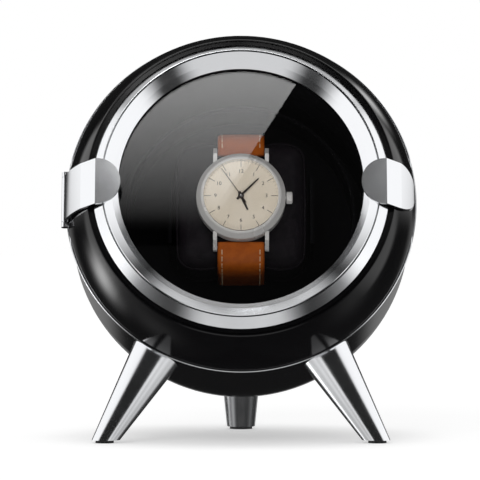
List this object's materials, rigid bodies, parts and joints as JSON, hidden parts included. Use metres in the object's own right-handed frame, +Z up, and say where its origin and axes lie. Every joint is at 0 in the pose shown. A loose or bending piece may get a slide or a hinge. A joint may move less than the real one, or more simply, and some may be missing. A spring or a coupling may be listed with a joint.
{
  "type": "watch winder",
  "caption": "Capsule-shaped watch winder on three tapered legs, with a round glass door on a side hinge and a watch on a cushion in a tilted motor-driven rotor.",
  "frame": {"origin": "on the floor under the middle of the case", "axes": "+Z up, the glass door faces -Y, X to the right seen from the front"},
  "size_m": [0.1522, 0.1561, 0.1744],
  "materials": {
    "front_bezel": "piano black, polished",
    "rear_shell": "piano black, polished",
    "trim_ring": "polished",
    "chamber_liner": "satin black",
    "rotor_deck": "moulded",
    "front_posts": "turned",
    "post_screws": "plated",
    "rear_standoffs": "turned",
    "cover_screws": "black plated",
    "rear_cover": "fine texture",
    "power_socket": "moulded",
    "mode_selector": "moulded",
    "rocker_housing": "moulded",
    "front_bearing": "ground",
    "rear_bearing": "ground",
    "gearbox": "zinc",
    "motor": "drawn can",
    "motor_clamps": "plated",
    "motor_screws": "plated",
    "control_board": "solder mask",
    "door_seal": "soft",
    "hinge_bracket": "plated",
    "hinge_pin": "ground",
    "latch_magnet": "nickel plated",
    "leg_left": "polished",
    "leg_right": "polished",
    "leg_rear": "polished",
    "leg_bolts": "plated",
    "foot_pads": "matt",
    "door_ring": "polished",
    "glass_bezel": "polished",
    "door_glass": "clear float glass",
    "glass_gasket": "soft",
    "hinge_strap": "polished",
    "pull_strap": "polished",
    "strap_screws": "plated",
    "latch_plate": "plated",
    "rotor_shaft": "ground",
    "shaft_clip": "oiled",
    "rotor_drum": "satin black",
    "cushion_holder": "satin black",
    "drive_wheel": "moulded acetal",
    "motor_pinion": "cut",
    "watch_cushion": "soft grained imitation leather",
    "strap_upper": "tan, pale stitching",
    "strap_lower": "tan, pale stitching",
    "spring_bars": "ground",
    "strap_keeper": "tan",
    "strap_buckle": "polished",
    "watch_case": "polished steel",
    "watch_back": "polished steel",
    "watch_dial": "cream, satin",
    "watch_movement": "gilt",
    "watch_crystal": "clear",
    "hour_hand": "dark",
    "minute_hand": "dark",
    "second_hand": "dark",
    "watch_crown": "polished steel",
    "mode_knob": "fine texture",
    "direction_rocker": "fine texture"
  },
  "bodies": {
    "housing": {"front_bezel": "front_bezel", "rear_shell": "rear_shell", "trim_ring": "trim_ring", "chamber_liner": "chamber_liner", "rotor_deck": "rotor_deck", "front_posts": "front_posts", "post_screws": "post_screws", "rear_standoffs": "rear_standoffs", "cover_screws": "cover_screws", "rear_cover": "rear_cover", "power_socket": "power_socket", "mode_selector": "mode_selector", "rocker_housing": "rocker_housing", "front_bearing": "front_bearing", "rear_bearing": "rear_bearing", "gearbox": "gearbox", "motor": "motor", "motor_clamps": "motor_clamps", "motor_screws": "motor_screws", "control_board": "control_board", "door_seal": "door_seal", "hinge_bracket": "hinge_bracket", "hinge_pin": "hinge_pin", "latch_magnet": "latch_magnet", "leg_left": "leg_left", "leg_right": "leg_right", "leg_rear": "leg_rear", "leg_bolts": "leg_bolts", "foot_pads": "foot_pads"},
    "door": {"door_ring": "door_ring", "glass_bezel": "glass_bezel", "door_glass": "door_glass", "glass_gasket": "glass_gasket", "hinge_strap": "hinge_strap", "pull_strap": "pull_strap", "strap_screws": "strap_screws", "latch_plate": "latch_plate"},
    "rotor": {"rotor_shaft": "rotor_shaft", "shaft_clip": "shaft_clip", "rotor_drum": "rotor_drum", "cushion_holder": "cushion_holder", "drive_wheel": "drive_wheel"},
    "pinion": {"motor_pinion": "motor_pinion"},
    "cushion": {"watch_cushion": "watch_cushion", "strap_upper": "strap_upper", "strap_lower": "strap_lower", "spring_bars": "spring_bars", "strap_keeper": "strap_keeper", "strap_buckle": "strap_buckle", "watch_case": "watch_case", "watch_back": "watch_back", "watch_dial": "watch_dial", "watch_movement": "watch_movement", "watch_crystal": "watch_crystal"},
    "hour_hand": {"hour_hand": "hour_hand"},
    "minute_hand": {"minute_hand": "minute_hand"},
    "second_hand": {"second_hand": "second_hand"},
    "crown": {"watch_crown": "watch_crown"},
    "mode_knob": {"mode_knob": "mode_knob"},
    "rocker": {"direction_rocker": "direction_rocker"}
  },
  "joints": [
    {"name": "door_hinge", "type": "hinge", "parent": "housing", "child": "door", "pos_m": [-0.0754, -0.03602, 0.10318], "axis": [0, -0.294, -0.9558], "range_deg": [0, 100]},
    {"name": "rotor_spin", "type": "hinge", "parent": "housing", "child": "rotor", "pos_m": [0, 0.01081, 0.08877], "axis": [0, -0.9558, 0.294], "continuous": true},
    {"name": "pinion_spin", "type": "hinge", "parent": "housing", "child": "pinion", "pos_m": [0, 0.01971, 0.12788], "axis": [0, -0.9558, 0.294], "continuous": true},
    {"name": "cushion_pull", "type": "slide", "parent": "rotor", "child": "cushion", "axis": [0, -0.9558, 0.294], "range_m": [0, 0.007]},
    {"name": "minute_hand_turn", "type": "hinge", "parent": "cushion", "child": "minute_hand", "pos_m": [0, -0.04176, 0.10494], "axis": [0, -0.9558, 0.294], "continuous": true},
    {"name": "hour_hand_turn", "type": "hinge", "parent": "cushion", "child": "hour_hand", "pos_m": [0, -0.04147, 0.10485], "axis": [0, -0.9558, 0.294], "continuous": true},
    {"name": "second_hand_turn", "type": "hinge", "parent": "cushion", "child": "second_hand", "pos_m": [0, -0.04204, 0.10503], "axis": [0, -0.9558, 0.294], "continuous": true},
    {"name": "crown_turn", "type": "hinge", "parent": "cushion", "child": "crown", "pos_m": [0.02, -0.03851, 0.10394], "axis": [1, 0, 0], "continuous": true},
    {"name": "mode_knob_turn", "type": "hinge", "parent": "housing", "child": "mode_knob", "pos_m": [-0.0115, 0.07088, 0.07657], "axis": [0, 0.9558, -0.294], "range_deg": [0, 270]},
    {"name": "rocker_tilt", "type": "hinge", "parent": "housing", "child": "rocker", "pos_m": [0.011, 0.06801, 0.07745], "axis": [0, 0.294, 0.9558], "range_deg": [-8, 8]}
  ],
  "couplings": [
    {"joint": "pinion_spin", "follows": "rotor_spin", "ratio": -4},
    {"joint": "hour_hand_turn", "follows": "minute_hand_turn", "ratio": 0.083333}
  ]
}
